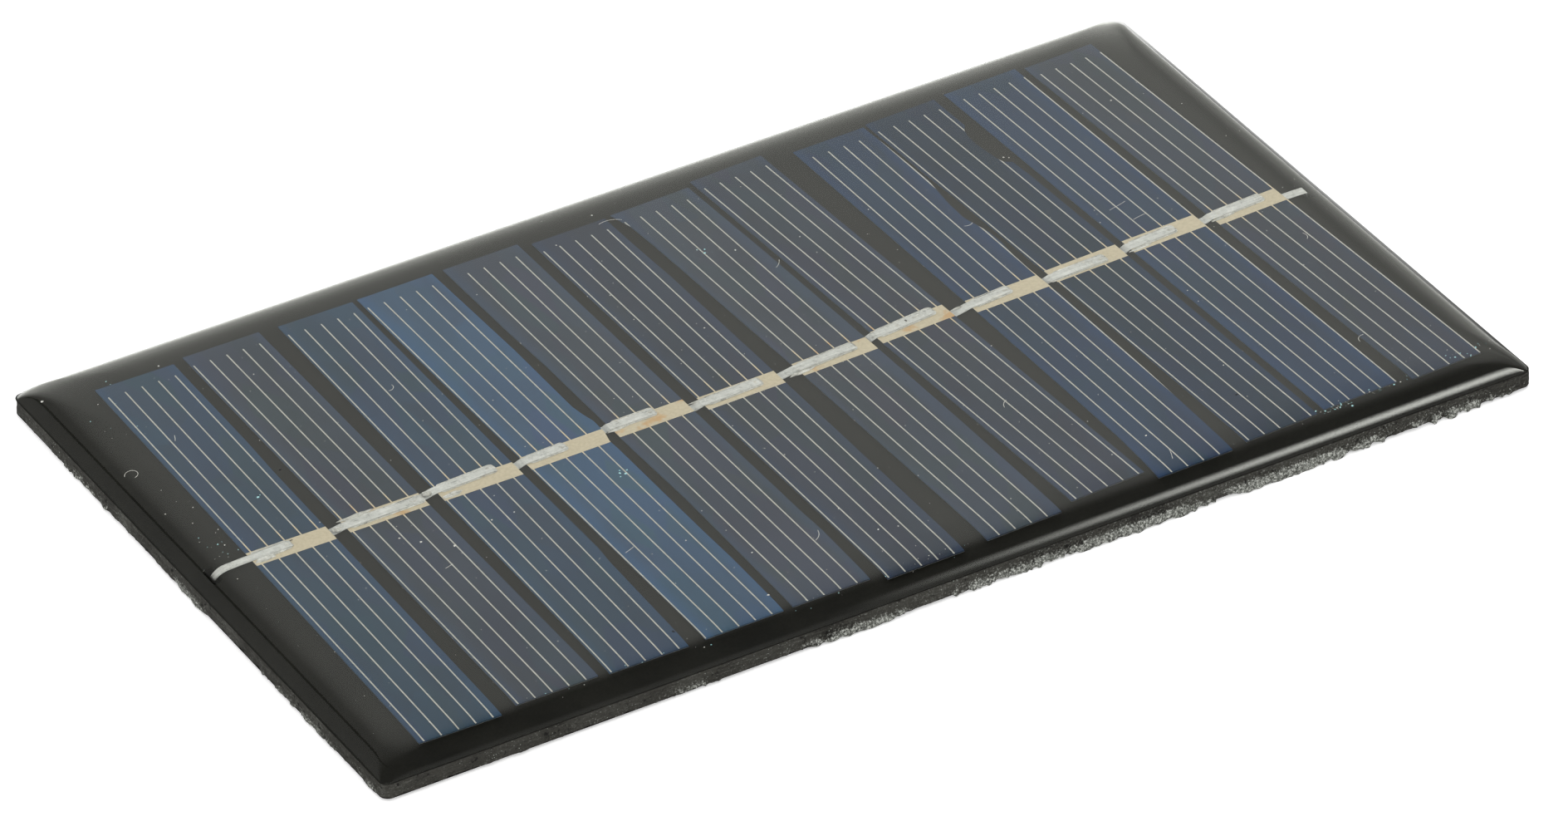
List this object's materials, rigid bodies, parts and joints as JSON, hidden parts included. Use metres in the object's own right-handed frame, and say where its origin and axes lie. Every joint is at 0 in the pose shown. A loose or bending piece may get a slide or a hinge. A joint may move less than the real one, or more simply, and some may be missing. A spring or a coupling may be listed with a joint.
{
  "type": "solar panel",
  "caption": "Small rectangular solar panel: strips of blue-grey silicon cell in series on a black circuit board under a clear domed resin layer.",
  "frame": {"origin": "under the middle of the board, at the level that the two back solder joints stand on", "axes": "+X along the string of cells, from the negative terminal to the positive one; +Y along each strip of cell; +Z towards the sun"},
  "size_m": [0.115, 0.07, 0.0033],
  "materials": {
    "laminate": "black glass-fibre laminate, sawn edges",
    "solder_mask": "black solder mask, satin",
    "copper_pad": "tinned copper",
    "silicon": "multicrystalline silicon with a slate-blue nitride coat",
    "silicon_blue": "multicrystalline silicon with a lighter steel-blue nitride coat",
    "silver_paste": "fired silver paste, beige, matt",
    "rear_paste": "fired aluminium paste, matt grey",
    "adhesive": "soft adhesive pad",
    "solder": "tin-lead solder, bright and uneven",
    "resin": "clear domed epoxy resin, gloss"
  },
  "bodies": {
    "root": {"cell_01": "silicon", "cell_02": "silicon", "cell_03": "silicon", "cell_04": "silicon_blue", "cell_05": "silicon", "cell_06": "silicon", "cell_07": "silicon", "cell_08": "silicon", "cell_09": "silicon_blue", "cell_10": "silicon", "cell_11": "silicon", "cell_12": "silicon", "front_grid_01": "silver_paste", "front_grid_02": "silver_paste", "front_grid_03": "silver_paste", "front_grid_04": "silver_paste", "front_grid_05": "silver_paste", "front_grid_06": "silver_paste", "front_grid_07": "silver_paste", "front_grid_08": "silver_paste", "front_grid_09": "silver_paste", "front_grid_10": "silver_paste", "front_grid_11": "silver_paste", "front_grid_12": "silver_paste", "ribbon_01": "solder", "ribbon_02": "solder", "ribbon_03": "solder", "ribbon_04": "solder", "ribbon_05": "solder", "ribbon_06": "solder", "ribbon_07": "solder", "ribbon_08": "solder", "ribbon_09": "solder", "ribbon_10": "solder", "ribbon_11": "solder", "ribbon_12": "solder", "ribbon_13": "solder", "substrate": "laminate", "front_mask": "solder_mask", "back_mask": "solder_mask", "pad_negative": "copper_pad", "pad_positive": "copper_pad", "polarity_marks": "copper_pad", "rear_contacts": "rear_paste", "cell_adhesive": "adhesive", "front_solder": "solder", "rear_solder": "solder", "terminal_solder": "solder", "resin_dome": "resin"}
  },
  "joints": []
}
